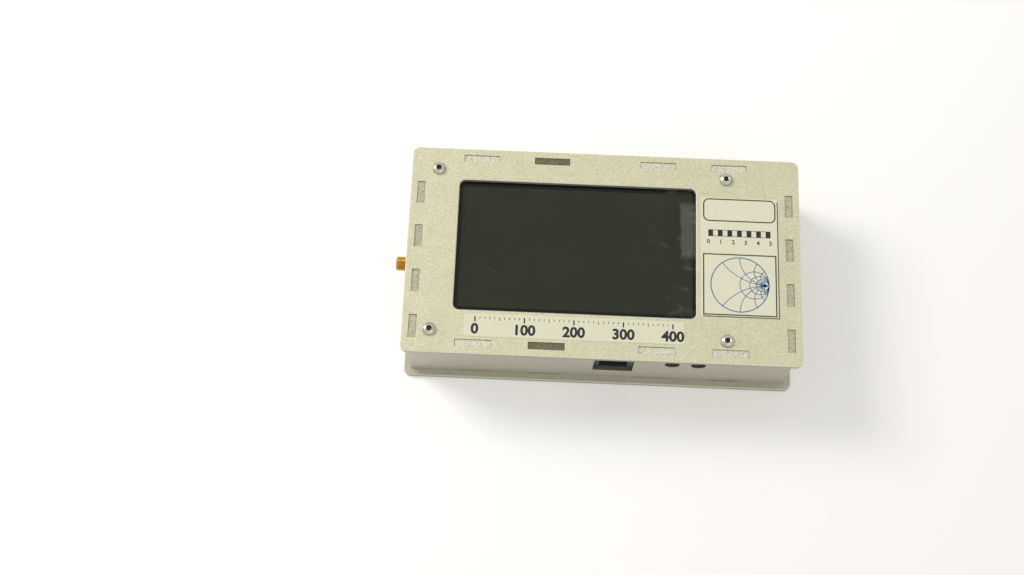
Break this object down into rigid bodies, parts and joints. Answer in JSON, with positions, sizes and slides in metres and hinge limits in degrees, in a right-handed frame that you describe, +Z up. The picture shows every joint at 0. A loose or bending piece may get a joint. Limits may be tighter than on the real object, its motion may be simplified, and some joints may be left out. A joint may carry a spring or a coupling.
{
  "type": "antenna analyzer",
  "caption": "Flat slotted-aluminium instrument case with a large screen in its top panel, a coaxial jack on one end, side sockets, switches and a memory card.",
  "frame": {"origin": "middle of the case's underside, on the surface that it lies on", "axes": "+X to the right along the case's length, +Y to the far side as the screen is read, +Z up out of the screen"},
  "size_m": [0.1694, 0.092, 0.0345],
  "materials": {
    "case_aluminium": "bead-blasted and anodised, fine grain",
    "screw_steel": "bright stainless steel",
    "plated_brass": "nickel-plated brass",
    "gold_plate": "gold-plated brass",
    "black_nylon": "moulded nylon",
    "label_film": "printed polyester film",
    "touch_glass": "coated cover glass, black border",
    "lcd_screen": "dark unlit screen",
    "sheet_steel": "tinned sheet steel",
    "foam_black": "closed-cell foam",
    "board_laminate": "soldermask over glass laminate",
    "chip_black": "moulded epoxy",
    "connector_black": "moulded plastic",
    "connector_white": "moulded plastic",
    "lamp_lens": "clear lamp lens",
    "dielectric": "white fluoropolymer",
    "flex_film": "amber film",
    "battery_wrap": "silver pouch",
    "lead_red": "soft insulation"
  },
  "bodies": {
    "case": {"bottom_plate": "case_aluminium", "top_panel": "case_aluminium", "front_wall": "case_aluminium", "rear_wall": "case_aluminium", "left_wall": "case_aluminium", "right_wall": "case_aluminium", "panel_screws": "screw_steel", "bottom_screws": "screw_steel", "standoffs": "plated_brass", "spacer_sleeves": "black_nylon", "side_label": "label_film", "title_label": "label_film", "window_gasket": "foam_black", "touch_glass": "touch_glass", "lcd_screen": "lcd_screen", "lcd_tray": "sheet_steel", "display_pads": "foam_black", "display_flex": "flex_film", "flex_connector": "connector_white", "display_board": "board_laminate", "processor": "chip_black", "board_chips": "chip_black", "network_shell": "sheet_steel", "network_insert": "connector_black", "network_leds": "lamp_lens", "network_contacts": "gold_plate", "audio_jack_right": "connector_black", "audio_jack_left": "connector_black", "data_usb_socket": "sheet_steel", "card_socket": "sheet_steel", "reset_switch": "connector_black", "user_switch": "connector_black", "header_sockets": "connector_black", "header_strips": "connector_black", "header_pins": "gold_plate", "rf_board": "board_laminate", "rf_shield": "sheet_steel", "rf_chips": "chip_black", "rf_crystal": "sheet_steel", "coax_jack": "gold_plate", "coax_insulator": "dielectric", "coax_contact": "gold_plate", "coax_washer": "gold_plate", "coax_nut": "gold_plate", "power_board": "board_laminate", "board_supports": "connector_white", "charge_usb_socket": "sheet_steel", "power_switch": "connector_black", "charger_chip": "chip_black", "charge_lamp": "lamp_lens", "battery_plug": "connector_white", "battery_pack": "battery_wrap", "battery_pad": "foam_black", "battery_leads": "lead_red", "supply_leads": "lead_red"},
    "slider": {"power_slider": "connector_black"},
    "reset": {"reset_plunger": "connector_white"},
    "user": {"user_plunger": "connector_white"},
    "card": {"memory_card": "connector_black"}
  },
  "joints": [
    {"name": "power_slide", "type": "slide", "parent": "case", "child": "slider", "axis": [0, 1, 0], "range_m": [0, 0.0025]},
    {"name": "reset_press", "type": "slide", "parent": "case", "child": "reset", "axis": [0, -1, 0], "range_m": [0, 0.0004], "stiffness_N_per_m": 1500},
    {"name": "user_press", "type": "slide", "parent": "case", "child": "user", "axis": [0, -1, 0], "range_m": [0, 0.0004], "stiffness_N_per_m": 1500},
    {"name": "card_slide", "type": "slide", "parent": "case", "child": "card", "axis": [0, 1, 0], "range_m": [0, 0.014]}
  ]
}
